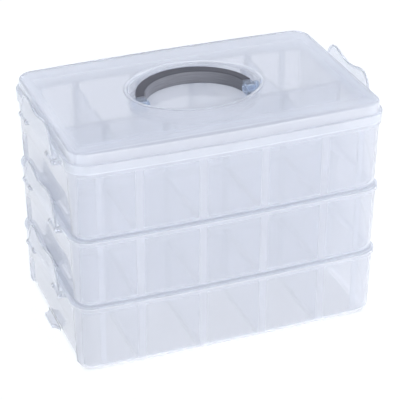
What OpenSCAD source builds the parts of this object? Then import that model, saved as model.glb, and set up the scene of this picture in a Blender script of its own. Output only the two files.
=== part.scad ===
// Stacking sewing box: three compartment trays, a lid with a fold-down handle, and six latches.
// Z is up, X runs along the long side and Y from front to back. The origin is at the middle
// of the footprint, on the surface that the box stands on.

/* [Box] */
// Length of a tray over its rim
rim_w = 310; // [300:2:324]
// Depth of a tray over its rim, at the corners
rim_d = 194; // [188:2:204]
// How far the long sides bow out in the middle
bow = 3; // [2:0.5:4]
// Corner radius of the rim
corner_r = 20; // [18:1:22]
// Thickness of the walls and the floors
wall = 2; // [1.8:0.1:2.2]

/* [Trays] */
// Height of a tray
tray_h = 72; // [68:1:76]
// How far each tray sinks into the rim below it
nest = 1.5; // [1:0.25:2]
// Distance between neighbouring dividers
column_w = 61; // [58:1:62]
// Height of a divider's top edge above the underside of its tray
divider_top = 66; // [56:1:66]

/* [Lid] */
// Height of the lid above the top rim
lid_h = 18.5; // [18.5:0.5:22]
// Height of the lip around the lid
lip_h = 8.5; // [8:0.5:10]
// Length of the handle's dish
dish_w = 128; // [126:1:134]
// Depth of the handle's dish from front to back
dish_d = 100; // [98:1:104]

/* [Handle] */
// Half of the handle's span, outside
handle_span = 58.8; // [57:0.1:59]
// Reach of the handle from its hinge line
handle_reach = 55.5; // [50:0.5:55.5]
// Width of the strap, measured up when it lies folded
strap_w = 13; // [11:0.5:13]

/* [Latches] */
// How far a latch's two ears reach above the rim
ear_rise = 24.5; // [22:0.5:28]
// Thickness of a latch's plate
plate_t = 1.9; // [1.6:0.1:2.2]

/* [Hidden] */
SIDES = [-1, 1];
SIDE_NAMES = ["left", "right"];
LEVELS = ["bottom", "middle", "top"];
ROWS = ["front", "back"];
COLUMNS = [-1.5, -0.5, 0.5, 1.5];
FROSTED = [0.84, 0.87, 0.93, 0.55];
GRIP_GREY = [0.36, 0.36, 0.41];
$fn = 96;
eps = 0.01;

// The long sides are arcs of one large circle, tangent to the corner circles.
corner_x = rim_w / 2 - corner_r;
corner_y = rim_d / 2 - corner_r;
side_r = (corner_x * corner_x + bow * bow) / (2 * bow) + corner_r;
side_c = side_r - rim_d / 2 - bow;
side_fn = 4096;

// Every level of a tray is the rim's outline, moved inwards by its own inset.
foot_inset = 6;
foot_h = 3;
shoulder_inset = 3.5;
shoulder_h = 7;
side_inset = 2;
bead_h = 4;
pitch = tray_h - nest;
stack_h = 2 * pitch + tray_h;
end_x = rim_w / 2 - side_inset;

// The short ends are pressed in below, where the latch of the tray below lies.
recess_depth = 2.5;
recess_half = 78;
recess_top = 40;
recess_r = 20;
recess_x = end_x - recess_depth;

mid_wall_t = 1.8;
rib_w = 2.4;
rib_depth = 3.5;
mid_rib_depth = 2.5;
divider_t = 2;
divider_play = 0.2;
divider_gap = 0.3;
divider_chamfer = 3;
divider_toe = [6, 10];
scoop_r = 24;
scoop_depth = 4;
slot = divider_t + 2 * divider_play;

// Catches stand out from the short ends, under the nose of the latch below.
catch_z = 3;
catch_h = 4;
catch_x = rim_w / 2 + 1.4;
catch_half = 19.5;
catch_r = 8;

// Latch hinge, seen from the rim that carries it.
hinge_x = rim_w / 2 + 2.8;
hinge_drop = 5.5;
knuckle_r = 2.5;
latch_pin_r = 1.4;
latch_bore_r = 1.45;
lug_r = 3;
lug_t = 3;
inner_lug_y = 33;
outer_lug_y = 51;
lug_play = 0.3;
knuckle_from = inner_lug_y + lug_t + lug_play;
knuckle_to = outer_lug_y - lug_play;
plate_x = rim_w / 2 + 2.3;
plate_bottom = -2;
ear_r = 8.5;
ear_y = 29.5;
hollow_r = 60;
hollow_z = 19.3;
nose_x = catch_x + 0.35;
nose_half = 13;
nose_z = [5.9, 9];

// Lid and dish
lip_inset = -0.5;
lid_inset = 2.8;
lid_nest = 1.4;
lid_nest_inset = 4.6;
dish_y = 7;
dish_end_r = 40;
dish_wall = 1.8;
dish_floor = 0.4;
dish_c = dish_w / 2 - dish_end_r;
dish_rise = dish_d / 2 - dish_end_r;
dish_side_c = (dish_c * dish_c - dish_rise * dish_rise) / (2 * dish_rise);
dish_side_r = dish_d / 2 + dish_side_c;

// Handle: axis along X, folded back flat in the dish
strap_drop = 3;
axle_z = stack_h + lid_h - strap_drop - strap_w / 2;
pin_r = 2.5;
eye_bore_r = 2.55;
eye_r = strap_w / 2 - 0.05;
eye_w = 8.8;
lug_gap = 0.4;
handle_lug_x = handle_span + lug_gap;
handle_lug_half = 7.5;
pin_head_r = 4.5;
pin_head_t = 2;
pin_bite = 4.2;
grip_thick = 12.5;
core_margin = 2.6;
core_h = 8;
grip_start = 7;
arch_steps = 48;

function latch_name(i, s) = str(LEVELS[i], "_latch_", SIDE_NAMES[s]);
function divider_name(i, r, c) = str(LEVELS[i], "_divider_", ROWS[r], "_", c + 1);

// Distance from the long axis to the outline, moved inwards by inset, at x
function half_depth(x, inset) = sqrt(pow(side_r - inset, 2) - x * x) - side_c;

// Upper half of an ellipse, from (a, 0) over (0, b) to (-a, 0)
function arch(a, b) = [
    for (i = [0 : arch_steps])
        let (t = 180 * i / arch_steps)
        [a * cos(t), b * sin(t)]
];

module plan(inset) {
    edge_x = corner_x * (side_r - inset) / (side_r - corner_r);
    for (sx = SIDES, sy = SIDES)
        translate([sx * corner_x, sy * corner_y])
            circle(r = corner_r - inset);
    square([rim_w - 2 * inset, 2 * corner_y], center = true);
    intersection() {
        square([2 * edge_x, 2 * rim_d], center = true);
        translate([0, side_c])
            circle(r = side_r - inset, $fn = side_fn);
        translate([0, -side_c])
            circle(r = side_r - inset, $fn = side_fn);
    }
}

module slab(inset, from_z, to_z) {
    translate([0, 0, from_z])
        linear_extrude(to_z - from_z)
            plan(inset);
}

// Places children, drawn in the YZ plane and as thick as depth, with their inner face at from_x.
module on_end(side, from_x, depth) {
    translate([side > 0 ? from_x : -from_x - depth, 0, 0])
        rotate([90, 0, 90])
            linear_extrude(depth)
                children();
}

module recess_outline(grow) {
    half = recess_half + grow;
    top = recess_top + grow;
    radius = recess_r + grow;
    translate([-half, 0])
        square([2 * half, top - radius]);
    translate([radius - half, 0])
        square([2 * (half - radius), top]);
    for (s = SIDES)
        translate([s * (half - radius), top - radius])
            circle(r = radius);
}

module catch(z) {
    for (s = SIDES)
        translate([0, 0, z])
            linear_extrude(catch_h)
                difference() {
                    translate([s > 0 ? recess_x - 1 : -catch_x, -catch_half])
                        square([catch_x - recess_x + 1, 2 * catch_half]);
                    for (e = SIDES)
                        translate([s * (catch_x + 1.6), e * catch_half])
                            circle(r = catch_r);
                }
}

module guide_ribs() {
    for (c = COLUMNS, s = SIDES) {
        x = c * column_w + s * (slot + rib_w) / 2;
        wall_y = half_depth(abs(x) + rib_w / 2, side_inset + wall);
        for (y = SIDES)
            translate([x - rib_w / 2, y > 0 ? wall_y - rib_depth : -wall_y - wall / 2, wall / 2])
                cube([rib_w, rib_depth + wall / 2, pitch - wall / 2]);
        translate([x - rib_w / 2, -mid_wall_t / 2 - mid_rib_depth, wall / 2])
            cube([rib_w, mid_wall_t + 2 * mid_rib_depth, pitch - wall / 2]);
    }
}

module latch_lugs() {
    for (s = SIDES, e = SIDES, y = [inner_lug_y, outer_lug_y])
        translate([0, e > 0 ? y : -y - lug_t, tray_h - hinge_drop])
            rotate([-90, 0, 0])
                linear_extrude(lug_t)
                    difference() {
                        union() {
                            translate([s * hinge_x, 0])
                                circle(r = lug_r);
                            translate([s > 0 ? end_x - 1 : -hinge_x, -lug_r])
                                square([hinge_x - end_x + 1, 2 * lug_r]);
                        }
                        translate([s * hinge_x, 0])
                            circle(r = latch_bore_r);
                    }
}

module tray_solid() {
    slab(foot_inset, 0, shoulder_h);
    slab(shoulder_inset, foot_h, shoulder_h + eps);
    slab(side_inset, shoulder_h, tray_h);
    slab(0, tray_h - bead_h, tray_h);
}

module tray_shell() {
    difference() {
        tray_solid();
        slab(foot_inset + wall, wall, tray_h);
        slab(shoulder_inset + wall, foot_h + wall, tray_h);
        slab(side_inset + wall, shoulder_h + wall, tray_h + 1);
    }
}

module tray(level) {
    color(FROSTED)
        translate([0, 0, level * pitch]) {
            difference() {
                union() {
                    tray_shell();
                    intersection() {
                        tray_solid();
                        union() {
                            for (s = SIDES)
                                on_end(s, recess_x - wall, wall + 1)
                                    recess_outline(wall);
                            translate([-end_x, -mid_wall_t / 2, wall / 2])
                                cube([2 * end_x, mid_wall_t, pitch - wall / 2]);
                            guide_ribs();
                        }
                    }
                }
                for (s = SIDES)
                    on_end(s, recess_x, 10)
                        recess_outline(0);
            }
            catch(catch_z);
            latch_lugs();
        }
}

module divider(level, row, column) {
    x = COLUMNS[column] * column_w;
    reach = half_depth(abs(x) + divider_t, side_inset + wall) - divider_gap;
    from = mid_wall_t / 2 + divider_gap;
    side = ROWS[row] == "front" ? -1 : 1;
    color(FROSTED)
        translate([x - divider_t / 2, 0, level * pitch])
            rotate([90, 0, 90])
                linear_extrude(divider_t)
                    mirror([side < 0 ? 1 : 0, 0])
                        difference() {
                            polygon([
                                [from, wall],
                                [reach - divider_toe[0], wall],
                                [reach, wall + divider_toe[1]],
                                [reach, divider_top - divider_chamfer],
                                [reach - divider_chamfer, divider_top],
                                [from + divider_chamfer, divider_top],
                                [from, divider_top - divider_chamfer]
                            ]);
                            translate([(from + reach) / 2, divider_top + scoop_r - scoop_depth])
                                circle(r = scoop_r);
                        }
}

module latch_outline() {
    slope = atan2(ear_rise - ear_r + 3.7, knuckle_to - ear_y - 7);
    difference() {
        union() {
            polygon([
                [-knuckle_to, 0],
                [-ear_y - ear_r * sin(slope), ear_rise - ear_r + ear_r * cos(slope)],
                [-ear_y, ear_rise],
                [ear_y, ear_rise],
                [ear_y + ear_r * sin(slope), ear_rise - ear_r + ear_r * cos(slope)],
                [knuckle_to, 0],
                [knuckle_to, plate_bottom],
                [-knuckle_to, plate_bottom]
            ]);
            for (s = SIDES) {
                translate([s * ear_y, ear_rise - ear_r])
                    circle(r = ear_r);
                translate([s > 0 ? knuckle_from : -knuckle_to, -hinge_drop])
                    square([knuckle_to - knuckle_from, hinge_drop]);
            }
        }
        translate([0, hollow_z + hollow_r])
            circle(r = hollow_r);
    }
}

module latch(level, side) {
    color(FROSTED)
        translate([0, 0, level * pitch + tray_h]) {
            on_end(side, plate_x, plate_t)
                latch_outline();
            on_end(side, nose_x, plate_x - nose_x + eps)
                translate([-nose_half, nose_z[0]])
                    square([2 * nose_half, nose_z[1] - nose_z[0]]);
            for (e = SIDES)
                translate([side * hinge_x, 0, -hinge_drop])
                    rotate([-90, 0, 0]) {
                        translate([0, 0, e > 0 ? knuckle_from : -knuckle_to])
                            cylinder(r = knuckle_r, h = knuckle_to - knuckle_from);
                        translate([0, 0, e > 0 ? inner_lug_y : -outer_lug_y - lug_t])
                            cylinder(r = latch_pin_r, h = outer_lug_y + lug_t - inner_lug_y);
                    }
        }
}

module oval(grow) {
    edge_x = dish_c * (dish_side_r + grow) / (dish_side_r - dish_end_r);
    for (s = SIDES)
        translate([s * dish_c, 0])
            circle(r = dish_end_r + grow);
    intersection() {
        square([2 * edge_x, 2 * dish_d], center = true);
        translate([0, dish_side_c])
            circle(r = dish_side_r + grow);
        translate([0, -dish_side_c])
            circle(r = dish_side_r + grow);
    }
}

module lid() {
    top_z = stack_h + lid_h;
    color(FROSTED)
        difference() {
            union() {
                difference() {
                    union() {
                        slab(lip_inset, stack_h, stack_h + lip_h);
                        slab(lid_inset, stack_h + lip_h - eps, top_z);
                        slab(lid_nest_inset, stack_h - lid_nest, stack_h + eps);
                        catch(stack_h - nest + catch_z);
                    }
                    slab(lid_nest_inset + wall, stack_h - lid_nest - 1, top_z - wall);
                }
                translate([0, dish_y, stack_h + dish_floor])
                    linear_extrude(lid_h - dish_floor)
                        oval(dish_wall);
            }
            difference() {
                translate([0, dish_y, stack_h + dish_floor + dish_wall])
                    linear_extrude(lid_h)
                        oval(0);
                for (s = SIDES)
                    translate([s > 0 ? handle_lug_x : -handle_lug_x - 10, -handle_lug_half, stack_h])
                        cube([10, 2 * handle_lug_half, lid_h - strap_drop]);
            }
            for (s = SIDES)
                translate([s * handle_lug_x, 0, axle_z])
                    rotate([0, s * 90, 0])
                        cylinder(r = pin_r, h = 2 * pin_bite, center = true);
        }
}

// A flat band along the arch, narrowed by margin on both edges
module band(margin) {
    difference() {
        polygon(arch(handle_span - margin, handle_reach - margin));
        polygon(arch(handle_span - eye_w + margin, handle_reach - grip_thick + margin));
    }
}

module grip_solid(margin, height) {
    translate([0, 0, -height / 2])
        linear_extrude(height)
            intersection() {
                band(margin);
                translate([-handle_span, grip_start])
                    square([2 * handle_span, handle_reach]);
            }
}

module handle_frame() {
    color(FROSTED)
        translate([0, 0, axle_z])
            difference() {
                union() {
                    grip_solid(core_margin, core_h);
                    translate([0, 0, -eye_r])
                        linear_extrude(2 * eye_r)
                            intersection() {
                                band(0);
                                translate([-handle_span, 0])
                                    square([2 * handle_span, grip_start]);
                            }
                    for (s = SIDES)
                        translate([s > 0 ? handle_span - eye_w : -handle_span, 0, 0])
                            rotate([0, 90, 0])
                                cylinder(r = eye_r, h = eye_w);
                }
                rotate([0, 90, 0])
                    cylinder(r = eye_bore_r, h = 3 * handle_span, center = true);
            }
}

module handle_grip() {
    color(GRIP_GREY)
        translate([0, 0, axle_z])
            difference() {
                grip_solid(0, strap_w);
                grip_solid(core_margin, core_h);
            }
}

module handle_pin(side) {
    inner = handle_span - eye_w - lug_gap;
    color(FROSTED)
        translate([side * (inner - pin_head_t), 0, axle_z])
            rotate([0, side * 90, 0]) {
                cylinder(r = pin_head_r, h = pin_head_t);
                cylinder(r = pin_r, h = handle_lug_x + pin_bite - inner + pin_head_t);
            }
}

for (i = [0 : 2])
    tray(i);
lid();
handle_frame();
handle_grip();
handle_pin(-1);  // handle_pin_left
handle_pin(1);  // handle_pin_right
for (i = [0 : 2], s = [0, 1])
    latch(i, SIDES[s]);
for (i = [0 : 2], r = [0, 1], c = [0 : 3])
    divider(i, r, c);
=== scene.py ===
import math

import bmesh
import bpy
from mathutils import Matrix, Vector


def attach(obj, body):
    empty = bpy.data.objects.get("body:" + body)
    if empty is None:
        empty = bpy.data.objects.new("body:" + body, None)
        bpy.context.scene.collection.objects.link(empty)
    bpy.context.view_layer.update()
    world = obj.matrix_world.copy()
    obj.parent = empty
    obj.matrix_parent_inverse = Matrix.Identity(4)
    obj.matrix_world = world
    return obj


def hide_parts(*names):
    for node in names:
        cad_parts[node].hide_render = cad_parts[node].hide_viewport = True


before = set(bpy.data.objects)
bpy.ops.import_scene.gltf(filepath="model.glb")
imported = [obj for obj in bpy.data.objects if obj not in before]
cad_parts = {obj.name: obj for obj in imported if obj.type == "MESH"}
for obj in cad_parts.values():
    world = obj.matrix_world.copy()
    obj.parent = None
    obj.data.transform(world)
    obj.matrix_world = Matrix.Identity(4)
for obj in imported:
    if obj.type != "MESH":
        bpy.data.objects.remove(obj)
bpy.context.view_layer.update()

# Lengths are in millimetres up to the stage at the end; mesh_from() and place() turn them
# into metres. Trays and dividers are drawn in their own tray's place, the lid in the stack's.
MM = 0.001
TINY = 1e-9
SIDES = (-1, 1)
SIDE_NAMES = {-1: "left", 1: "right"}
LEVELS = ("bottom", "middle", "top")

# ---------------------------------------------------------------- the outline of the box
RIM_W, RIM_D, BOW, CORNER_R = 310.0, 194.0, 3.0, 20.0
CORNER_X, CORNER_Y = RIM_W / 2 - CORNER_R, RIM_D / 2 - CORNER_R
# The bowed front and back are arcs of radius SIDE_R, SIDE_C behind the long axis.
SIDE_R = (CORNER_X**2 + BOW**2) / (2 * BOW) + CORNER_R
SIDE_C = SIDE_R - RIM_D / 2 - BOW
END_STEPS, CORNER_STEPS, SIDE_STEPS = 96, 14, 72
TRAY_H, PITCH = 72.0, 70.5
STACK_H = 2 * PITCH + TRAY_H
LID_H = 18.5
LID_TOP = STACK_H + LID_H
WALL = 2.0
COLUMNS = (-91.5, -30.5, 30.5, 91.5)

# The pressed-in panel of a short end: its depth, outline, corner and the width of its slope.
RECESS_DEPTH, RECESS_HALF, RECESS_TOP, RECESS_R = 2.5, 78.0, 40.0, 20.0
RECESS_SLOPE = 2.4
# Points whose normal's x is over this lie on a short end.
ON_A_SHORT_END = 0.94


def half_depth(x, inset):
    """How far the outline, moved inwards by inset, lies from the long axis at x."""
    return math.sqrt((SIDE_R - inset) ** 2 - x * x) - SIDE_C


def rim_points():
    """(x, y, normal x, normal y) around the rim, counter-clockwise."""
    lean = math.asin(CORNER_X / (SIDE_R - CORNER_R))
    corner = math.pi / 2 - lean
    half = []
    for i in range(END_STEPS):
        half.append((RIM_W / 2, -CORNER_Y + 2 * CORNER_Y * i / END_STEPS, 1.0, 0.0))
    for i in range(CORNER_STEPS):
        a = corner * i / CORNER_STEPS
        c, s = math.cos(a), math.sin(a)
        half.append((CORNER_X + CORNER_R * c, CORNER_Y + CORNER_R * s, c, s))
    for i in range(SIDE_STEPS):
        a = corner + 2 * lean * i / SIDE_STEPS
        c, s = math.cos(a), math.sin(a)
        half.append((SIDE_R * c, SIDE_R * s - SIDE_C, c, s))
    for i in range(CORNER_STEPS):
        a = math.pi / 2 + lean + corner * i / CORNER_STEPS
        c, s = math.cos(a), math.sin(a)
        half.append((CORNER_R * c - CORNER_X, CORNER_Y + CORNER_R * s, c, s))
    return half + [(-x, -y, -nx, -ny) for x, y, nx, ny in half]


RIM = rim_points()


def pressed_in(y, z, grow):
    """Depth of the pressed-in panel of a short end at (y, z); its outline is grown by grow."""
    radius = RECESS_R + grow
    qy = abs(y) - (RECESS_HALF + grow - radius)
    qz = z - (RECESS_TOP + grow - radius)
    outside = math.hypot(max(qy, 0.0), max(qz, 0.0)) + min(max(qy, qz), 0.0) - radius
    t = min(max(0.5 - outside / RECESS_SLOPE, 0.0), 1.0)
    return RECESS_DEPTH * t * t * (3 - 2 * t)


def rim_ring(inset, z, press=None):
    """The rim's outline moved inwards by inset; press grows the pressed-in panels' outline."""
    ring = []
    for x, y, nx, ny in RIM:
        depth = 0.0
        if press is not None and abs(nx) > ON_A_SHORT_END:
            depth = math.copysign(pressed_in(y, z, press), nx)
        ring.append((x - inset * nx - depth, y - inset * ny, z))
    return ring


# ---------------------------------------------------------------- mesh helpers
SHARP_ANGLE = 38
MITRE_LIMIT = 0.5
# How a rounded edge climbs, as shares of its radius: (inwards, upwards).
BEVEL_STEPS = ((1.0, 0.0), (0.62, 0.08), (0.29, 0.29), (0.08, 0.62), (0.0, 1.0))


class Shape:
    """Vertices in millimetres and faces; closed bodies are added one after the other."""

    def __init__(self):
        self.verts = []
        self.faces = []

    def loft(self, rings, capped=True):
        """Joins rings of equal length into one skin; caps close the two open ends."""
        n = len(rings[0])
        base = len(self.verts)
        for ring in rings:
            self.verts.extend(ring)
        for r in range(len(rings) - 1):
            a, b = base + r * n, base + (r + 1) * n
            for i in range(n):
                j = (i + 1) % n
                self.faces.append((a + i, a + j, b + j, b + i))
        if capped:
            last = base + (len(rings) - 1) * n
            self.faces.append(tuple(base + i for i in range(n))[::-1])
            self.faces.append(tuple(last + i for i in range(n)))
        return self

    def add(self, other, move=(0, 0, 0)):
        base = len(self.verts)
        self.verts.extend((x + move[0], y + move[1], z + move[2]) for x, y, z in other.verts)
        self.faces.extend(tuple(base + i for i in f) for f in other.faces)
        return self

    def map(self, function):
        self.verts = [function(*v) for v in self.verts]
        return self

    def copy(self):
        return Shape().add(self)


def mesh_from(shape, name, sharp=SHARP_ANGLE):
    """A Blender mesh in metres, smooth apart from edges over the sharp angle in degrees."""
    mesh = bpy.data.meshes.new(name)
    mesh.from_pydata([(x * MM, y * MM, z * MM) for x, y, z in shape.verts], [], shape.faces)
    mesh.validate()
    bm = bmesh.new()
    bm.from_mesh(mesh)
    bmesh.ops.recalc_face_normals(bm, faces=bm.faces)
    bm.to_mesh(mesh)
    bm.free()
    mesh.shade_smooth()
    mesh.set_sharp_from_angle(angle=math.radians(sharp))
    return mesh


def place(mesh, name, body, material, replaced, move=(0, 0, 0)):
    """Adds an object that rides a body and stands for CAD nodes."""
    if not mesh.materials:
        mesh.materials.append(material)
    obj = bpy.data.objects.new(name, mesh)
    bpy.context.scene.collection.objects.link(obj)
    obj.location = [c * MM for c in move]
    weighted = obj.modifiers.new("weighted_normals", "WEIGHTED_NORMAL")
    weighted.keep_sharp = True
    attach(obj, body)
    if replaced:
        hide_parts(*replaced)


def circle(steps):
    """Angles once around, in radians."""
    return [2 * math.pi * i / steps for i in range(steps)]


def quarter(steps):
    """Angles from 0 to a quarter turn, both ends included."""
    return [math.pi / 2 * i / steps for i in range(steps + 1)]


def arc(cx, cy, radius, start, stop, steps):
    """Points on a circle between two angles in degrees, both ends included."""
    points = []
    for i in range(steps + 1):
        a = math.radians(start + (stop - start) * i / steps)
        points.append((cx + radius * math.cos(a), cy + radius * math.sin(a)))
    return points


def mirrored(points):
    """A line that ends on the axis u = 0, followed by its mirror image on the other side."""
    return points + [(-u, v) for u, v in points[-2::-1]]


def moved_in(outline, distance):
    """A counter-clockwise outline with every edge moved inwards by distance."""
    n = len(outline)
    result = []
    for i in range(n):
        (ax, ay), (bx, by), (cx, cy) = outline[i - 1], outline[i], outline[(i + 1) % n]
        ux, uy = bx - ax, by - ay
        vx, vy = cx - bx, cy - by
        lu, lv = math.hypot(ux, uy) or TINY, math.hypot(vx, vy) or TINY
        mx, my = -uy / lu - vy / lv, ux / lu + vx / lv
        k = distance * 2 / max(mx * mx + my * my, MITRE_LIMIT)
        result.append((bx + mx * k, by + my * k))
    return result


def beside(line, distance):
    """An open line moved to its left by distance."""
    result = []
    for i, (x, y) in enumerate(line):
        ax, ay = line[max(i - 1, 0)]
        bx, by = line[min(i + 1, len(line) - 1)]
        length = math.hypot(bx - ax, by - ay)
        result.append((x - (by - ay) / length * distance, y + (bx - ax) / length * distance))
    return result


def plate(outline, low, high, bevel, hole=None):
    """A slab between two heights with rounded edges; a hole has as many points as the outline."""
    levels = [(inn * bevel, low + up * bevel) for inn, up in BEVEL_STEPS]
    levels += [(inn * bevel, high - up * bevel) for inn, up in BEVEL_STEPS[::-1]]
    rings = [[(u, v, h) for u, v in moved_in(outline, inn)] for inn, h in levels]
    if hole is None:
        return Shape().loft(rings)
    back = [[(u, v, h) for u, v in moved_in(hole, -inn)] for inn, h in levels[::-1]]
    return Shape().loft(rings + back + rings[:1], capped=False)


def necked_ring(radius, neck_half, neck_end, toward, bore, steps):
    """A ring's outline with a square neck on the side toward (-1 or 1) of u, and its bore."""
    outer = []
    for a in circle(steps):
        c, s = math.cos(a), math.sin(a)
        reach = radius
        if c * toward > 0:
            reach = max(reach, min(neck_half / max(abs(s), TINY), neck_end / max(abs(c), TINY)))
        outer.append((reach * c, reach * s))
    return outer, [(bore * math.cos(a), bore * math.sin(a)) for a in circle(steps)]


def smooth_open(points, steps):
    """An open Catmull-Rom curve through the points."""
    ends = [points[0]] + list(points) + [points[-1]]
    out = []
    for i in range(1, len(ends) - 2):
        p0, p1, p2, p3 = ends[i - 1 : i + 3]
        for s in range(steps):
            t = s / steps
            out.append(tuple(
                0.5 * (2 * p1[k] + (p2[k] - p0[k]) * t
                       + (2 * p0[k] - 5 * p1[k] + 4 * p2[k] - p3[k]) * t * t
                       + (3 * p1[k] - p0[k] - 3 * p2[k] + p3[k]) * t**3)
                for k in (0, 1)
            ))
    return out + [tuple(points[-1])]


def stand(shape):
    """Turns a slab drawn in (u, v) with thickness h into (x, y, z) = (h, u, v)."""
    return shape.map(lambda u, v, h: (h, u, v))


def across(shape):
    """Turns a slab drawn in (u, v) with thickness h into (x, y, z) = (u, h, v)."""
    return shape.map(lambda u, v, h: (u, h, v))


# ---------------------------------------------------------------- material helpers
MIX_SOCKETS = {"FLOAT": (2, 3, 0), "RGBA": (6, 7, 2)}


def node_of(tree, kind, **values):
    """A new node with its input sockets, or else its properties, set to values."""
    node = tree.nodes.new(kind)
    for key, value in values.items():
        if key in node.inputs:
            node.inputs[key].default_value = value
        else:
            setattr(node, key, value)
    return node


def feed(tree, value, socket):
    """Links a socket to another one, or sets it to a plain value."""
    if isinstance(value, bpy.types.NodeSocket):
        tree.links.new(value, socket)
    else:
        socket.default_value = value


def maths(tree, operation, *operands):
    """The result of a Math node on numbers or sockets."""
    node = node_of(tree, "ShaderNodeMath", operation=operation)
    for operand, socket in zip(operands, node.inputs):
        feed(tree, operand, socket)
    return node.outputs[0]


def remap(tree, value, source, target=(0.0, 1.0), **options):
    """A socket that follows value from the source range to the target range."""
    node = node_of(tree, "ShaderNodeMapRange", **options)
    for name, number in zip(("From Min", "From Max", "To Min", "To Max"), (*source, *target)):
        node.inputs[name].default_value = number
    feed(tree, value, node.inputs["Value"])
    return node.outputs["Result"]


def blend(tree, share, first, second, kind="RGBA"):
    """A mix of two colours, or of two numbers, by share."""
    a, b, result = MIX_SOCKETS[kind]
    node = node_of(tree, "ShaderNodeMix", data_type=kind)
    for operand, socket in ((share, 0), (first, a), (second, b)):
        feed(tree, operand, node.inputs[socket])
    return node.outputs[result]


def noise(tree, vector, **values):
    node = node_of(tree, "ShaderNodeTexNoise", **values)
    tree.links.new(vector, node.inputs["Vector"])
    return node.outputs["Fac"]


def xyz_of(tree, vector):
    node = node_of(tree, "ShaderNodeSeparateXYZ")
    tree.links.new(vector, node.inputs[0])
    return node.outputs


# ---------------------------------------------------------------- materials
IOR = 1.49
# Colour of the painted glow of the plastics: painted light.
PAINTED_GLOW_COLOUR = (0.80, 0.87, 1.0, 1)
THICK_CLEAR = 0.66
GRAIN_HEIGHT_M = 0.00002
# How Blender's pointiness shows an edge: from flat to fully rubbed.
RUBBED = (0.5, 0.62)
CLOUD_RANGE = (0.3, 0.7)


def share_of_band(tree, distance, stops):
    """How far a point lies in a band; stops are (millimetres, share) by rising distance."""
    first, last = stops[0][0], stops[-1][0]
    ramp = node_of(tree, "ShaderNodeValToRGB")
    elements = ramp.color_ramp.elements
    while len(elements) < len(stops):
        elements.new(0.5)
    for element, (at, share) in zip(elements, stops):
        element.position = (at - first) / (last - first)
        element.color = (share, share, share, 1)
    tree.links.new(remap(tree, distance, (first * MM, last * MM)), ramp.inputs[0])
    return ramp.outputs[0]


def thicken_with_painted_glow(tree, shader, places, bands, clear, glow):
    """Makes the bands milkier and paints their extra glow, which is painted light; where they
    overlap, the strongest one counts.
    """
    milky, painted_glow_strength = 0.0, glow
    for axis, stops, extra in bands:
        share = share_of_band(tree, maths(tree, "ABSOLUTE", places[axis]), stops)
        milky = maths(tree, "MAXIMUM", milky, share)
        painted_glow_strength = maths(tree, "MAXIMUM", painted_glow_strength, maths(tree, "MULTIPLY_ADD", share, extra, glow))
    feed(tree, remap(tree, milky, (0.0, 1.0), (clear, THICK_CLEAR)),
         shader.inputs["Transmission Weight"])
    feed(tree, painted_glow_strength, shader.inputs["Emission Strength"])


def plastic(name, colour, tint, edge, rough, rough_spread, grain, grain_mm,
            clear=0.0, glow=0.0, haze_mm=60.0, bands=()):
    """Moulded plastic: cloudy colour, fine moulded grain, and paler, rubbed edges.

    glow is painted light: an emission in a painted glow colour that stands in for light scattered
    inside and lightens the whole part. bands are (axis, stops, extra glow): the heavy rims, feet and
    edges, which are milkier than the thin walls; their extra glow is painted light as well, which
    lightens shaded grooves and paints highlights on the lid's edges.
    """
    mat = bpy.data.materials.new(name)
    mat.use_nodes = True
    tree = mat.node_tree
    tree.nodes.clear()
    out = node_of(tree, "ShaderNodeOutputMaterial")
    shader = node_of(tree, "ShaderNodeBsdfPrincipled", IOR=IOR)
    shader.inputs["Transmission Weight"].default_value = clear
    shader.inputs["Emission Color"].default_value = PAINTED_GLOW_COLOUR
    shader.inputs["Emission Strength"].default_value = glow
    tree.links.new(shader.outputs["BSDF"], out.inputs["Surface"])
    here = node_of(tree, "ShaderNodeTexCoord").outputs["Object"]
    if bands:
        thicken_with_painted_glow(tree, shader, xyz_of(tree, here), bands, clear, glow)
    cloud = noise(tree, here, Scale=1 / (haze_mm * MM), Detail=3.0, Roughness=0.55)
    fine = noise(tree, here, Scale=1 / (grain_mm * MM), Detail=2.0, Roughness=0.6)
    pointiness = node_of(tree, "ShaderNodeNewGeometry").outputs["Pointiness"]
    cloudy = blend(tree, cloud, (*colour, 1), (*tint, 1))
    worn = blend(tree, remap(tree, pointiness, RUBBED), cloudy, (*edge, 1))
    feed(tree, worn, shader.inputs["Base Color"])
    feed(tree, remap(tree, cloud, CLOUD_RANGE, (rough - rough_spread, rough + rough_spread)),
         shader.inputs["Roughness"])
    bump = node_of(tree, "ShaderNodeBump", Strength=grain, Distance=GRAIN_HEIGHT_M)
    feed(tree, fine, bump.inputs["Height"])
    feed(tree, bump.outputs["Normal"], shader.inputs["Normal"])
    return mat


STREAK_SCALE = (60.0, 60.0, 1400.0)
STREAK_DARK = 0.55
# A normal's height on an upright face and on one that lies flat.
UPRIGHT_TO_FLAT = (0.35, 0.75)


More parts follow.
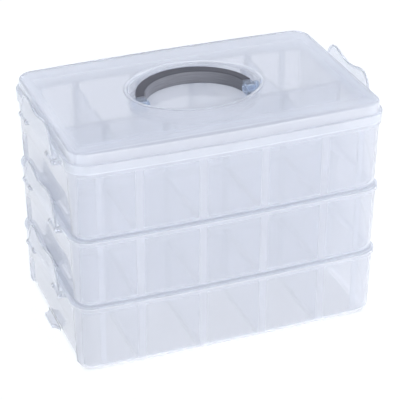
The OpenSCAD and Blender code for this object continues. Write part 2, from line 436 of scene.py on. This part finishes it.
def smooth_sides_painted_lighter(mat, colour, rough):
    """The grip's upright faces are smooth, and lighter by a painted reflection, drawn with fine
    lines along them.
    """
    tree = mat.node_tree
    shader = next(n for n in tree.nodes if n.type == "BSDF_PRINCIPLED")
    coords = node_of(tree, "ShaderNodeTexCoord")
    tilt = maths(tree, "ABSOLUTE", xyz_of(tree, coords.outputs["Normal"])["Z"])
    upright = remap(tree, tilt, UPRIGHT_TO_FLAT, (1.0, 0.0))
    squash = node_of(tree, "ShaderNodeMapping", Scale=STREAK_SCALE)
    tree.links.new(coords.outputs["Object"], squash.inputs["Vector"])
    lines = noise(tree, squash.outputs[0], Scale=1.0, Detail=2.0)
    dark = [c * STREAK_DARK for c in colour]
    painted_reflection_streak = blend(tree, lines, (*colour, 1), (*dark, 1))
    base, roughness = shader.inputs["Base Color"], shader.inputs["Roughness"]
    feed(tree, blend(tree, upright, base.links[0].from_socket, painted_reflection_streak), base)
    feed(tree, blend(tree, upright, roughness.links[0].from_socket, rough, "FLOAT"), roughness)


PALE, PALER = (0.962, 0.966, 0.995), (0.952, 0.958, 0.995)
SHELL_EDGE, THIN_EDGE = (0.95, 0.97, 1.0), (0.96, 0.98, 1.0)
GUIDES_HALF, GUIDES_FADE, GUIDES_SHARE = 3.5, 0.8, 0.4


def guide_band(x):
    """The milkier strip where two guides stand beside a divider at x."""
    near, far = x - GUIDES_HALF, x + GUIDES_HALF
    return ("X", ((near - GUIDES_FADE, 0), (near, GUIDES_SHARE),
                  (far, GUIDES_SHARE), (far + GUIDES_FADE, 0)), 0.0)


# Where the shells are thicker and so milkier: (axis, ((mm, share), ...), extra glow). The extra glow
# is painted light.
TRAY_BANDS = [
    ("Z", ((66.5, 0), (68.2, 0.6)), 0.0),
    # Painted light: the rim's top face, shaded by the foot of the tray above, glows brighter.
    ("Z", ((70.8, 0), (71.9, 1)), 0.13),
    ("X", ((147.0, 0), (149.0, 1)), 0.0),
    # Painted light: a little extra glow on the foot, over the shaded groove above the rim below.
    ("Z", ((1.0, 0), (1.3, 1), (1.75, 1), (1.92, 0), (2.08, 0), (2.3, 1), (4.5, 1), (8.0, 0)), 0.03),
]
TRAY_BANDS += [guide_band(x) for x in COLUMNS if x > 0]
LID_BANDS = [
    # Painted light: the lower skirt of the lid glows a little more.
    ("Z", ((STACK_H + 6.5, 1), (STACK_H + 8.5, 0)), 0.02),
    # Painted highlight: the lid's top edge glows brighter.
    ("Z", ((LID_TOP + 0.1, 0), (LID_TOP + 0.35, 1)), 0.10),
    ("X", ((147.5, 0), (149.5, 1)), 0.0),
    ("Y", ((88.0, 0), (90.0, 1)), 0.0),
    # Painted highlights: the margins of the lid's top face glow brighter.
    ("X", ((132.0, 0), (146.0, 0.6), (151.0, 0.6), (153.0, 0)), 0.08),
    ("Y", ((60.0, 0), (82.0, 0.6), (91.0, 0.6), (93.0, 0)), 0.07),
]

# The glow of every plastic below is painted light that lightens it all over.
FROSTED = plastic("frosted_shell", PALE, PALER, SHELL_EDGE, rough=0.10, rough_spread=0.02,
                  grain=0.25, grain_mm=0.9, clear=0.77, glow=0.045, bands=TRAY_BANDS)
FROSTED_LID = plastic("frosted_lid", PALE, PALER, SHELL_EDGE, rough=0.10, rough_spread=0.02,
                      grain=0.25, grain_mm=0.9, clear=0.80, glow=0.045, bands=LID_BANDS)
FROSTED_LATCH = plastic("frosted_latch", PALE, PALER, THIN_EDGE, rough=0.20, rough_spread=0.03,
                        grain=0.2, grain_mm=0.9, clear=0.87, glow=0.055)
FROSTED_DIVIDER = plastic("milky_divider", PALE, PALER, THIN_EDGE, rough=0.10,
                          rough_spread=0.02, grain=0.2, grain_mm=0.9, clear=0.82, glow=0.045)
CLEAR = plastic("clear_pivot", (0.78, 0.87, 1.0), (0.70, 0.81, 0.98), (0.9, 0.95, 1.0),
                rough=0.08, rough_spread=0.02, grain=0.1, grain_mm=1.5, clear=0.80, glow=0.05)
GRIP = plastic("slate_grip", (0.105, 0.105, 0.135), (0.09, 0.09, 0.118), (0.16, 0.16, 0.19),
               rough=0.38, rough_spread=0.05, grain=0.5, grain_mm=0.45, haze_mm=25.0)
# The upright faces' lighter colour is a painted reflection.
smooth_sides_painted_lighter(GRIP, (0.48, 0.48, 0.52), 0.14)

# ---------------------------------------------------------------- trays
FOOT_R = 9.0
# A tray's outside leans out: its inset at the top of the foot's fillet and under the rim bead.
SIDE_LOW, SIDE_HIGH = 3.2, 1.7
RIM_BEAD_LOW = 68.0
FLOOR = 2.0
FILLET_STEPS = 8
# Rings lie close together over the slope of the pressed-in panels, and far apart above it.
FINE_STEP, FINE_UP, FINE_DOWN, FINE_TOP = 1.6, 21, 22, 44.4
FAR_RINGS = (46.0, 54.0, 62.0)
# The rim bead in section, from the outside over the top to the inside: (inset, z).
RIM_BEAD = ((1.55, 67.6), (1.25, 67.92), (0.5, 68.0), (0.15, 68.15), (0.0, 68.5), (0.0, 71.3),
            (0.2, 71.8), (0.7, 72.0), (3.0, 72.0), (3.5, 71.8), (3.72, 71.2), (3.75, 69.0))


def side_inset(z):
    """Inset of a tray's outside above the bottom fillet: the wall leans out a little."""
    return SIDE_LOW + (SIDE_HIGH - SIDE_LOW) * (z - FOOT_R) / (RIM_BEAD_LOW - FOOT_R)


def foot_fillet(thickness):
    """(inset, z) from the wall down to the floor, at a depth below the outside."""
    radius = FOOT_R - thickness
    return [(SIDE_LOW + FOOT_R - radius * math.cos(a), FOOT_R - radius * math.sin(a))
            for a in quarter(FILLET_STEPS)]


def inner_profile(gap):
    """(inset, z) down the inside of a wall and over the fillet, sunk into it by gap."""
    heights = (69.5, 60.0, 50.0, 44.0, 42.5, 41.0, 39.0, 36.0, 30.0, 22.0, 15.0)
    return [(side_inset(z) + WALL + gap, z) for z in heights] + foot_fillet(WALL + gap)


def tray_shell():
    """Up the outside from the foot, over the rim bead and down the inside: one closed skin."""
    rising = [FOOT_R + FINE_STEP * (i + 1) for i in range(FINE_UP)]
    falling = [FINE_TOP - FINE_STEP * i for i in range(FINE_DOWN)]
    rings = [rim_ring(inset, z, 0.0) for inset, z in foot_fillet(0.0)[::-1]]
    rings += [rim_ring(side_inset(z), z, 0.0) for z in rising]
    rings += [rim_ring(side_inset(z), z, 0.0) for z in (*FAR_RINGS, 67.0)]
    rings += [rim_ring(inset, z) for inset, z in RIM_BEAD]
    rings += [rim_ring(side_inset(z) + WALL, z, WALL) for z in FAR_RINGS[::-1]]
    rings += [rim_ring(side_inset(z) + WALL, z, WALL) for z in falling]
    rings += [rim_ring(inset, z, WALL) for inset, z in foot_fillet(WALL)]
    return Shape().loft(rings)


# How deep moulded-on ribs are sunk into a wall and into the floor.
SINK, FLOOR_SINK = 0.06, 0.05
GUIDE_TOP, BAND_TOP, MID_WALL_TOP = 70.3, 69.0, 70.5
GUIDE_W, GUIDE_FROM_MIDDLE, GUIDE_PROUD = 1.6, 2.0, 7.4
BAND_X, BAND_W, BAND_PROUD = 129.0, 6.0, 6.6
MID_WALL_HALF, MID_GUIDE_FROM, MID_GUIDE_PROUD = 0.9, 0.95, 3.4
RIB_BEVEL, THIN_BEVEL = 0.25, 0.3
# The least depth of a rib's outline: points of the wall that lie closer to its face are left out.
RIB_LEAST = 0.2


def on_wall(outline, x, width, side):
    """A rib drawn as (inset, z), standing on the front or back wall at x."""
    slab = plate(outline, -width / 2, width / 2, RIB_BEVEL)
    return slab.map(lambda inset, z, h: (x + h, side * half_depth(x + h, inset), z))


def rib_outline(proud, top):
    """Counter-clockwise outline of a rib that reaches to the inset proud."""
    wall = [p for p in inner_profile(SINK) if p[0] < proud - RIB_LEAST]
    wall[0] = (wall[0][0], top)
    centre, radius = SIDE_LOW + FOOT_R, FOOT_R - WALL - SINK
    low = FOOT_R - math.sqrt(max(radius**2 - (centre - proud) ** 2, 0.0))
    return wall + [(proud, low), (proud, top)]


def mid_guide(x, side):
    """A guide on one face of the middle wall."""
    near, far = MID_GUIDE_FROM, MID_GUIDE_PROUD
    left, right = x - GUIDE_W / 2, x + GUIDE_W / 2
    box = [(left, near), (right, near), (right, far), (left, far)]
    slab = plate(box, FLOOR + FLOOR_SINK, GUIDE_TOP, RIB_BEVEL)
    return slab.map(lambda u, v, h: (u, side * v, h))


def ribs():
    """Guides on each side of every divider, and a broad band near each corner."""
    shape = Shape()
    guide = rib_outline(GUIDE_PROUD, GUIDE_TOP)
    band = rib_outline(BAND_PROUD, BAND_TOP)
    guide_xs = [column + e * GUIDE_FROM_MIDDLE for column in COLUMNS for e in SIDES]
    for side in SIDES:
        for x in guide_xs:
            shape.add(on_wall(guide, x, GUIDE_W, side))
        for x in (-BAND_X, BAND_X):
            shape.add(on_wall(band, x, BAND_W, side))
    for x in guide_xs:
        for side in SIDES:
            shape.add(mid_guide(x, side))
    return shape


def mid_wall():
    """The fixed wall along the middle, from end to end."""
    right = [(RIM_W / 2 - inset - pressed_in(0.0, z, WALL), max(z, FLOOR + SINK))
             for inset, z in inner_profile(SINK)]
    right[0] = (right[0][0], MID_WALL_TOP)
    outline = right[::-1] + [(-x, z) for x, z in right]
    return across(plate(outline, -MID_WALL_HALF, MID_WALL_HALF, THIN_BEVEL))


# A catch's half width at the wall and at its tip, how far it stands out, and its height.
CATCH_HALF, CATCH_TIP, CATCH_DEPTH, CATCH_H = 21.5, 11.5, 6.6, 4.3
CATCH_STEPS, CATCH_BEVEL = 6, 0.5
CATCH_FROM, CATCH_UP = 149.9, 2.9


def catch():
    """The small ledge that a latch snaps over, with hollow flanks: (y, distance out)."""
    flank = [(CATCH_TIP + (CATCH_HALF - CATCH_TIP) * (1 - math.cos(a)),
              CATCH_DEPTH * (1 - math.sin(a))) for a in quarter(CATCH_STEPS)]
    return plate(flank[::-1] + [(-y, d) for y, d in flank], 0.0, CATCH_H, CATCH_BEVEL)


def add_catches(shape, z):
    ledge = catch()
    for side in SIDES:
        shape.add(ledge.copy().map(
            lambda y, d, h: (side * (CATCH_FROM + d), y, h)), (0, 0, z))


HINGE_X, HINGE_DROP = 157.8, 5.5
LUG_Y, LUG_T = (33.0, 51.0), 3.0
LUG_R, LUG_NECK, LUG_BORE_R, LUG_BEVEL, LUG_STEPS = 3.0, 4.6, 1.46, 0.3, 48


def add_lugs(shape):
    """Four latch lugs at each short end, each a bored ring with a neck into the wall."""
    outer, bore = necked_ring(LUG_R, LUG_R, LUG_NECK, -1, LUG_BORE_R, LUG_STEPS)
    lug = plate(outer, 0.0, LUG_T, LUG_BEVEL, hole=bore)
    for side in SIDES:
        for e in SIDES:
            for y in LUG_Y:
                start = y if e > 0 else -y - LUG_T
                shape.add(lug.copy().map(
                    lambda u, v, h: (side * (HINGE_X + u), start + h, v)),
                    (0, 0, TRAY_H - HINGE_DROP))


tray_shape = tray_shell()
tray_shape.add(ribs())
tray_shape.add(mid_wall())
add_catches(tray_shape, CATCH_UP)
add_lugs(tray_shape)
tray_mesh = mesh_from(tray_shape, "tray_mesh")
for level, name in enumerate(LEVELS):
    place(tray_mesh, f"{name}_tray_shell", f"{name}_tray", FROSTED,
          [f"{name}_tray"], (0, 0, level * PITCH))

# A thin lip closes the gap between an upper tray's foot and the rim below it.
LIP_OUT, LIP_IN, LIP_LOW, LIP_HIGH, LIP_BEVEL = 3.95, 8.3, 0.95, 1.4, 0.12
lip_outline, lip_hole = ([p[:2] for p in rim_ring(inset, 0.0)] for inset in (LIP_OUT, LIP_IN))
lip_mesh = mesh_from(plate(lip_outline, LIP_LOW, LIP_HIGH, LIP_BEVEL, lip_hole), "foot_lip_mesh")
for level, name in enumerate(LEVELS[1:], 1):
    place(lip_mesh, f"{name}_foot_lip", f"{name}_tray", FROSTED,
          [], (0, 0, level * PITCH))


# ---------------------------------------------------------------- dividers
DIVIDER_TOP, DIVIDER_LOW, DIVIDER_HALF = 66.0, FLOOR + 0.1, 0.9
# Where a divider starts beside the middle wall, and how far inside the rim's edge it ends.
DIVIDER_START, DIVIDER_INSET = 1.35, 5.75
SCOOP_HALF, SCOOP_DEPTH, SCOOP_POWER, SCOOP_STEPS = 12.5, 4.0, 1.6, 16


def divider(x):
    """Drawn as (y, z): a thin plate with a finger scoop in its top edge."""
    start, top, low = DIVIDER_START, DIVIDER_TOP, DIVIDER_LOW
    end = half_depth(abs(x) + 1.0, DIVIDER_INSET)
    middle = (start + end) / 2
    outline = [(start, low), (end - 6.2, low), (end - 2.2, 6.5), (end - 0.3, 12.0),
               (end, 18.0), (end, top - 1.5), (end - 0.5, top - 0.4), (end - 1.6, top)]
    for i in range(SCOOP_STEPS + 1):
        a = math.pi * i / SCOOP_STEPS
        outline.append((middle + SCOOP_HALF * math.cos(a),
                        top - SCOOP_DEPTH * math.sin(a) ** SCOOP_POWER))
    outline += [(start + 1.6, top), (start + 0.5, top - 0.4), (start, top - 1.5)]
    return stand(plate(outline, -DIVIDER_HALF, DIVIDER_HALF, THIN_BEVEL))


divider_meshes = {}
for column in COLUMNS[2:]:
    for side in SIDES:
        shape = divider(column).map(lambda x, y, z: (x, side * y, z))
        divider_meshes[column, side] = mesh_from(shape, f"divider_{int(column)}_{side + 1}")
for level, name in enumerate(LEVELS):
    for row, side in (("front", -1), ("back", 1)):
        for i, column in enumerate(COLUMNS):
            node = f"{name}_divider_{row}_{i + 1}"
            place(divider_meshes[abs(column), side], f"{node}_plate", f"{name}_tray",
                  FROSTED_DIVIDER, [node], (column, 0, level * PITCH))


# ---------------------------------------------------------------- lid
# The oval dish: two ends of radius DISH_END_R, DISH_C from its middle, joined by flat arcs.
DISH_Y, DISH_END_R, DISH_C, DISH_RISE = 7.0, 40.0, 24.0, 10.0
DISH_SIDE_C = (DISH_C**2 - DISH_RISE**2) / (2 * DISH_RISE)
DISH_SIDE_R = DISH_END_R + DISH_RISE + DISH_SIDE_C
DISH_FLOOR, DISH_UNDERSIDE = STACK_H + 2.2, STACK_H + 0.4
# Rings on the dish's flat floor, as growth of its outline.
DISH_MIDDLE, DISH_FLAT = -14.0, -7.0
# The dish is narrower than the rim, so its rays are squashed to spread evenly.
DISH_RAY_SQUASH = 0.9
# The grip's rounded edge lies 1.5 mm inside the dish's wall, so the fillet is no larger.
DISH_WALL, DISH_FILLET, DISH_FILLET_STEPS = 1.7, 1.5, 6
# Underneath the fillet is larger: how far it reaches across and up.
UNDER_FILLET = (2.5, 3.3)
LID_CATCH_UP = 1.4

# Sections of the lid: (grown from the dish's outline, height over the lid's top).
DISH_LIP = ((-0.2, -1.4), (0.1, -0.7), (0.6, -0.1), (1.2, 0.25), (2.0, 0.45), (3.2, 0.45),
            (4.0, 0.25), (4.6, 0.03), (5.4, 0.0))
# (inset from the rim, height over the lid's top), from the top face down the plateau's side.
PLATEAU_EDGE = ((4.9, 0.0), (4.1, -0.12), (3.4, -0.45), (2.95, -1.05), (2.8, -1.8))
# (inset from the rim, height over the stack), round the skirt and up its inside.
SKIRT = ((2.35, 9.5), (2.2, 8.9), (1.8, 8.55), (1.3, 8.5), (0.3, 8.5), (-0.15, 8.35),
         (-0.42, 8.0), (-0.5, 7.5), (-0.5, 0.8), (-0.35, 0.3), (0.1, 0.05), (4.3, 0.05),
         (4.6, -0.2), (4.6, -1.0), (4.9, -1.35), (6.1, -1.35), (6.4, -1.0), (6.2, 7.0),
         (5.0, 10.0))
UNDER_EDGE = ((4.95, -4.2), (5.3, -2.8), (6.3, -2.1), (7.6, -2.0))
UNDER_LIP = ((4.2, -2.0), (2.9, -2.3), (2.0, -3.4))
UNDER_WALL = (0.8, STACK_H + 6.0)


def dish_point(angle, grow):
    """Where a ray from the dish's middle meets its oval outline, grown by grow."""
    c, s = abs(math.cos(angle)), abs(math.sin(angle))
    end_r, side_r = DISH_END_R + grow, DISH_SIDE_R + grow
    t = DISH_C * c + math.sqrt(max(end_r**2 - (DISH_C * s) ** 2, 0.0))
    edge_x = DISH_C * side_r / (DISH_SIDE_R - DISH_END_R)
    if t * c < edge_x:
        t = -DISH_SIDE_C * s + math.sqrt(side_r**2 - (DISH_SIDE_C * c) ** 2)
    return math.copysign(t * c, math.cos(angle)), math.copysign(t * s, math.sin(angle))


# One ray for each point of the rim, so that dish rings and rim rings join one to one.
DISH_ANGLES = [math.atan2((y - DISH_Y) * DISH_RAY_SQUASH, x) for x, y, _, _ in RIM]


def dish_ring(grow, z):
    points = [dish_point(a, grow) for a in DISH_ANGLES]
    return [(x, y + DISH_Y, z) for x, y in points]


def lid_shell():
    """From the dish's floor over the plateau and round the skirt, then back underneath."""
    across_by, up_by = UNDER_FILLET
    fillet = quarter(DISH_FILLET_STEPS)
    fillet_z = DISH_FLOOR + DISH_FILLET
    rings = [dish_ring(grow, DISH_FLOOR) for grow in (DISH_MIDDLE, DISH_FLAT)]
    rings += [dish_ring(-DISH_WALL + DISH_FILLET * math.sin(a),
                        fillet_z - DISH_FILLET * math.cos(a)) for a in fillet]
    rings += [dish_ring(grow, LID_TOP + z) for grow, z in DISH_LIP]
    rings += [rim_ring(inset, LID_TOP + z) for inset, z in PLATEAU_EDGE]
    rings += [rim_ring(inset, STACK_H + z) for inset, z in SKIRT]
    rings += [rim_ring(inset, LID_TOP + z) for inset, z in UNDER_EDGE]
    rings += [dish_ring(grow, LID_TOP + z) for grow, z in UNDER_LIP]
    rings.append(dish_ring(*UNDER_WALL))
    rings += [dish_ring(-DISH_WALL + across_by * math.sin(a), fillet_z - up_by * math.cos(a))
              for a in fillet[-2::-1]]
    rings.append(dish_ring(DISH_MIDDLE, DISH_UNDERSIDE))
    return Shape().loft(rings)


AXLE_Z = 222.0
HANDLE_LUG_FROM, HANDLE_LUG_T, HANDLE_LUG_BEVEL = 59.3, 4.0, 0.4
HANDLE_LUG_BASE = [(-7.3, -6.5), (7.3, -6.5)]


def handle_lug():
    """The clear block that carries the outer end of a handle pin, drawn as (y, z)."""
    outline = HANDLE_LUG_BASE + arc(0.0, -0.4, 6.6, 12, 168, 20)
    return plate(outline, 0.0, HANDLE_LUG_T, HANDLE_LUG_BEVEL)


lid_shape = lid_shell()
add_catches(lid_shape, STACK_H + LID_CATCH_UP)
lid_mesh = mesh_from(lid_shape, "lid_mesh")
place(lid_mesh, "lid_shell", "lid", FROSTED_LID, ["lid"])
for side in SIDES:
    name = f"handle_lug_{SIDE_NAMES[side]}"
    shape = stand(handle_lug()).map(
        lambda x, y, z: (side * (HANDLE_LUG_FROM + x), y, z + AXLE_Z))
    place(mesh_from(shape, name), name, "lid", CLEAR, [])


# ---------------------------------------------------------------- handle
# Flat, the handle is half an oval: its half width, its reach from the axle, and its thickness.
HANDLE_SPAN, HANDLE_REACH, GRIP_THICK = 58.8, 55.5, 12.5
GRIP_START, GRIP_HALF_H, GRIP_R, GRIP_STEPS = 7.0, 6.5, 1.3, 72
GRIP_SHARP = 50
# The rounded ends of the sleeve, ring by ring: how much it shrinks and how far it goes on.
GRIP_SHRINK = (0.0, 0.1, 0.35, 0.7, 1.1)
GRIP_PUSH = (0.0, 0.55, 0.9, 1.1, 1.2)
# Corners of the sleeve's section: (side across, side up, first angle in degrees).
SECTION_CORNERS = ((1, 1, 0), (-1, 1, 90), (-1, -1, 180), (1, -1, 270))
EYE_W, EYE_R, EYE_NECK_HALF, EYE_NECK, EYE_BORE_R = 8.8, 6.45, 5.2, 7.9, 2.55
EYE_BEVEL, EYE_STEPS = 0.5, 72


def around(a, b, start, t):
    """A point on half an ellipse of half-axes a and b, a share t from end to end."""
    first = math.asin(start / b)
    angle = first + (math.pi - 2 * first) * t
    return a * math.cos(angle), b * math.sin(angle)


def grip():
    """The grey sleeve: a crescent of rounded section, lying flat."""
    rings = []
    for k in range(1 - len(GRIP_PUSH), GRIP_STEPS + len(GRIP_PUSH)):
        t = min(max(k / GRIP_STEPS, 0.0), 1.0)
        over = max(-k, k - GRIP_STEPS, 0)
        ox, oy = around(HANDLE_SPAN, HANDLE_REACH, GRIP_START, t)
        ix, iy = around(HANDLE_SPAN - EYE_W, HANDLE_REACH - GRIP_THICK, GRIP_START, t)
        cx, cy = (ox + ix) / 2, (oy + iy) / 2
        if k <= 0 or k >= GRIP_STEPS:
            cy += GRIP_PUSH[-1] - GRIP_PUSH[over]
        width = math.hypot(ox - ix, oy - iy)
        dx, dy = (ox - ix) / width, (oy - iy) / width
        flat_u = width / 2 - GRIP_SHRINK[over] - GRIP_R
        flat_v = GRIP_HALF_H - GRIP_SHRINK[over] - GRIP_R
        ring = []
        for sign_u, sign_v, start in SECTION_CORNERS:
            for p, q in arc(sign_u * flat_u, sign_v * flat_v, GRIP_R, start, start + 90, 4):
                ring.append((cx + dx * p, cy + dy * p, AXLE_Z + q))
        rings.append(ring)
    return Shape().loft(rings)


place(mesh_from(grip(), "grip_mesh", GRIP_SHARP), "grip_sleeve", "handle", GRIP,
      ["handle_grip"])


def eye():
    """The clear end of the handle: a ring around the pin, with a neck into the sleeve."""
    outer, bore = necked_ring(EYE_R, EYE_NECK_HALF, EYE_NECK, 1, EYE_BORE_R, EYE_STEPS)
    return stand(plate(outer, 0.0, EYE_W, EYE_BEVEL, hole=bore))


eyes = Shape()
for side in SIDES:
    eyes.add(eye().map(lambda x, y, z: (side * (HANDLE_SPAN - EYE_W + x), y, z + AXLE_Z)))
place(mesh_from(eyes, "handle_eyes_mesh"), "handle_eyes", "handle", CLEAR,
      ["handle_frame"])

# The turned profile of a handle pin, from the head outwards: (radius, distance).
PIN_PROFILE = ((2.2, 0.0), (3.4, 0.15), (4.1, 0.5), (4.45, 1.0), (4.5, 1.6), (4.3, 1.95),
               (3.9, 2.0), (2.6, 2.0), (2.5, 2.1), (2.5, 15.2), (2.1, 15.7))
PIN_FROM, PIN_STEPS = 47.6, 40


def turned(profile):
    """A round body from (radius, distance) pairs, its axis along h."""
    return Shape().loft([[(r * math.cos(a), r * math.sin(a), h) for a in circle(PIN_STEPS)]
                         for r, h in profile])


for side in SIDES:
    name = f"handle_pin_{SIDE_NAMES[side]}"
    shape = turned(PIN_PROFILE).map(lambda u, v, h: (side * (PIN_FROM + h), u, v + AXLE_Z))
    place(mesh_from(shape, name + "_mesh"), name + "_turned", "lid", CLEAR,
          [name])


# ---------------------------------------------------------------- latches
# Half of a latch's free edge as (y, z), from the hinge up to the middle, and its lower edge.
EAR = ((50.7, -0.5), (49.3, 3.5), (46.6, 9.5), (43.4, 15.5), (39.6, 20.6), (34.6, 23.7),
       (29.0, 24.5), (22.5, 23.7), (12.0, 21.0), (0.0, 19.4))
LATCH_FOOT = ((-50.7, -2.7), (-36.4, -2.7), (-35.4, -1.9), (35.4, -1.9), (36.4, -2.7),
              (50.7, -2.7))
LATCH_IN, LATCH_OUT, LATCH_BEVEL = 157.35, 159.15, 0.55
EAR_STEPS = 5
# A raised border follows the free edge on the outside.
BORDER_OUT, BORDER_FROM_EDGE, BORDER_TO, BORDER_LOW, BORDER_BEVEL = 159.75, 0.65, 2.6, 1.0, 0.25
NOSE = ((-13.0, 5.9), (13.0, 5.9), (13.0, 9.0), (-13.0, 9.0))
NOSE_IN, NOSE_BEVEL = 156.75, 0.2
# The border and the nose stand this far off the plate, so that no two faces coincide.
ADDED_GAP = 0.05
HINGE_R, KNUCKLE_R = 1.4, 2.5
KNUCKLE_LOW, KNUCKLE_HIGH = 36.3, 50.7
BAR_LOW, BAR_HIGH = LUG_Y[0], LUG_Y[1] + LUG_T
# One hinge bar, which swells to a knuckle under the plate: (radius, y).
HINGE_PROFILE = (
    (HINGE_R - 0.3, BAR_LOW), (HINGE_R, BAR_LOW + 0.3), (HINGE_R, KNUCKLE_LOW),
    (KNUCKLE_R - 0.4, KNUCKLE_LOW), (KNUCKLE_R - 0.1, KNUCKLE_LOW + 0.15),
    (KNUCKLE_R, KNUCKLE_LOW + 0.5), (KNUCKLE_R, KNUCKLE_HIGH - 0.5),
    (KNUCKLE_R - 0.1, KNUCKLE_HIGH - 0.15), (KNUCKLE_R - 0.4, KNUCKLE_HIGH),
    (HINGE_R, KNUCKLE_HIGH), (HINGE_R, BAR_HIGH - 0.3), (HINGE_R - 0.3, BAR_HIGH),
)


def latch():
    """The right-hand latch, with z counted from its tray's rim."""
    free_edge = mirrored(smooth_open(EAR, EAR_STEPS))
    shape = stand(plate(free_edge + list(LATCH_FOOT), LATCH_IN, LATCH_OUT, LATCH_BEVEL))
    strip = [p for p in free_edge if p[1] > BORDER_LOW]
    border = beside(strip, BORDER_FROM_EDGE) + beside(strip, BORDER_TO)[::-1]
    shape.add(stand(plate(border, LATCH_OUT + ADDED_GAP, BORDER_OUT, BORDER_BEVEL)))
    shape.add(stand(plate(NOSE, NOSE_IN, LATCH_IN - ADDED_GAP, NOSE_BEVEL)))
    for e in SIDES:
        shape.add(turned(HINGE_PROFILE).map(
            lambda u, v, h: (HINGE_X + u, e * h, v - HINGE_DROP)))
    return shape


latch_shape = latch()
latch_meshes = {
    1: mesh_from(latch_shape, "latch_mesh_right"),
    -1: mesh_from(latch_shape.copy().map(lambda x, y, z: (-x, y, z)), "latch_mesh_left"),
}
for level, name in enumerate(LEVELS):
    for side in SIDES:
        node = f"{name}_latch_{SIDE_NAMES[side]}"
        place(latch_meshes[side], node + "_plate", node, FROSTED_LATCH,
              [node], (0, 0, level * PITCH + TRAY_H))

# ---------------------------------------------------------------- floor (metres from here on)
FLOOR_HALF, FLOOR_DROP = 60.0, 0.0003
# How brightly the paper glows in the open and in its painted shadow.
PAPER_LIT, PAPER_SHADED = 0.98, 0.52

scene = bpy.context.scene
floor_mesh = bpy.data.meshes.new("floor_mesh")
floor_mesh.from_pydata([(-FLOOR_HALF, -FLOOR_HALF, 0), (FLOOR_HALF, -FLOOR_HALF, 0),
                        (FLOOR_HALF, FLOOR_HALF, 0), (-FLOOR_HALF, FLOOR_HALF, 0)],
                       [], [(0, 1, 2, 3)])
floor = bpy.data.objects.new("floor", floor_mesh)
scene.collection.objects.link(floor)
floor.location.z = -FLOOR_DROP
floor_mat = bpy.data.materials.new("floor_paper")
floor_mat.use_nodes = True
floor_tree = floor_mat.node_tree
paper = floor_tree.nodes["Principled BSDF"].inputs
paper["Base Color"].default_value = (0.15, 0.15, 0.15, 1)
paper["Roughness"].default_value = 0.9
paper["Emission Color"].default_value = (0.94, 0.965, 1.0, 1)


def floor_patch(edges, depth):
    """Depth of a painted shadow patch: a product of soft steps, each from 0 at its outside value to
    1 at its inside value.
    """
    shade = depth
    for value, outside, inside in edges:
        source, target = (outside, inside), (0.0, 1.0)
        if outside > inside:
            source, target = source[::-1], target[::-1]
        step = remap(floor_tree, value, source, target, interpolation_type="SMOOTHSTEP")
        shade = maths(floor_tree, "MULTIPLY", step, shade)
    return shade


# The paper's glow is painted darker under the box, a painted contact shadow, and in a painted soft
# shadow that falls behind it.
floor_here = node_of(floor_tree, "ShaderNodeTexCoord").outputs["Object"]
floor_xyz = xyz_of(floor_tree, floor_here)
leaning = maths(floor_tree, "MULTIPLY_ADD", floor_xyz["Y"], -0.25, floor_xyz["X"])
painted_shadow_under_box = floor_patch(((maths(floor_tree, "ABSOLUTE", floor_xyz["X"]), 0.150, 0.138),
                         (maths(floor_tree, "ABSOLUTE", floor_xyz["Y"]), 0.093, 0.080)), 1.0)
painted_shadow_behind_box = floor_patch(((leaning, -0.140, -0.06), (leaning, 0.165, 0.085),
                          (floor_xyz["Y"], -0.096, -0.05), (floor_xyz["Y"], 0.34, 0.06)), 0.75)
painted_shadow_depth = maths(floor_tree, "MAXIMUM", painted_shadow_under_box, painted_shadow_behind_box)
feed(floor_tree, remap(floor_tree, painted_shadow_depth, (0.0, 1.0), (PAPER_LIT, PAPER_SHADED)),
     paper["Emission Strength"])
floor_mesh.materials.append(floor_mat)

# ---------------------------------------------------------------- light and camera
world = bpy.data.worlds.new("studio")
scene.world = world
world.use_nodes = True
sky_tree = world.node_tree
background = sky_tree.nodes["Background"].inputs
background["Color"].default_value = (0.88, 0.915, 1.0, 1)
# The room is brighter around the horizon than overhead, and darker to the left.
sky_xyz = xyz_of(sky_tree, node_of(sky_tree, "ShaderNodeTexCoord").outputs["Generated"])
overhead = remap(sky_tree, sky_xyz["Z"], (0.1, 0.9), (0.75, 0.66))
leftward = remap(sky_tree, sky_xyz["X"], (-1.0, 0.0), (0.2, 1.0))
feed(sky_tree, maths(sky_tree, "MULTIPLY", overhead, leftward), background["Strength"])


def aimed(obj, location, target):
    """Links an object to the scene at location, looking at target."""
    scene.collection.objects.link(obj)
    obj.location = location
    away = Vector(target) - Vector(location)
    obj.rotation_euler = away.to_track_quat("-Z", "Y").to_euler()


def area_light(name, location, target, size, watts, colour):
    data = bpy.data.lights.new(name, "AREA")
    data.shape = "RECTANGLE"
    data.size, data.size_y = size
    data.energy = watts
    data.color = colour
    obj = bpy.data.objects.new(name, data)
    aimed(obj, location, target)


area_light("key_softbox", (0.3, -1.9, 0.45), (0, 0, 0.12), (1.4, 0.8), 11.4, (1.0, 0.99, 0.98))
area_light("fill_softbox", (-1.5, -0.7, 1.0), (0, 0, 0.12), (1.2, 1.2), 0.1, (0.93, 0.96, 1.0))
area_light("back_softbox", (0.2, 1.4, 1.3), (0, 0, 0.15), (1.4, 0.9), 1.0, (0.96, 0.98, 1.0))

BOUNCES = 48
scene.view_settings.view_transform = "Standard"
scene.cycles.max_bounces = BOUNCES
scene.cycles.transmission_bounces = BOUNCES
scene.cycles.diffuse_bounces = BOUNCES
scene.cycles.glossy_bounces = BOUNCES

camera_data = bpy.data.cameras.new("camera")
camera = bpy.data.objects.new("camera", camera_data)
aimed(camera, (-0.4948, -1.2890, 0.8830), (0.0, 0.0, 0.11675))
scene.camera = camera
camera_data.sensor_width = 36.0
camera_data.lens = 144.78
camera_data.shift_x = 0.00805
camera_data.shift_y = -0.0162
camera_data.clip_end = 200.0
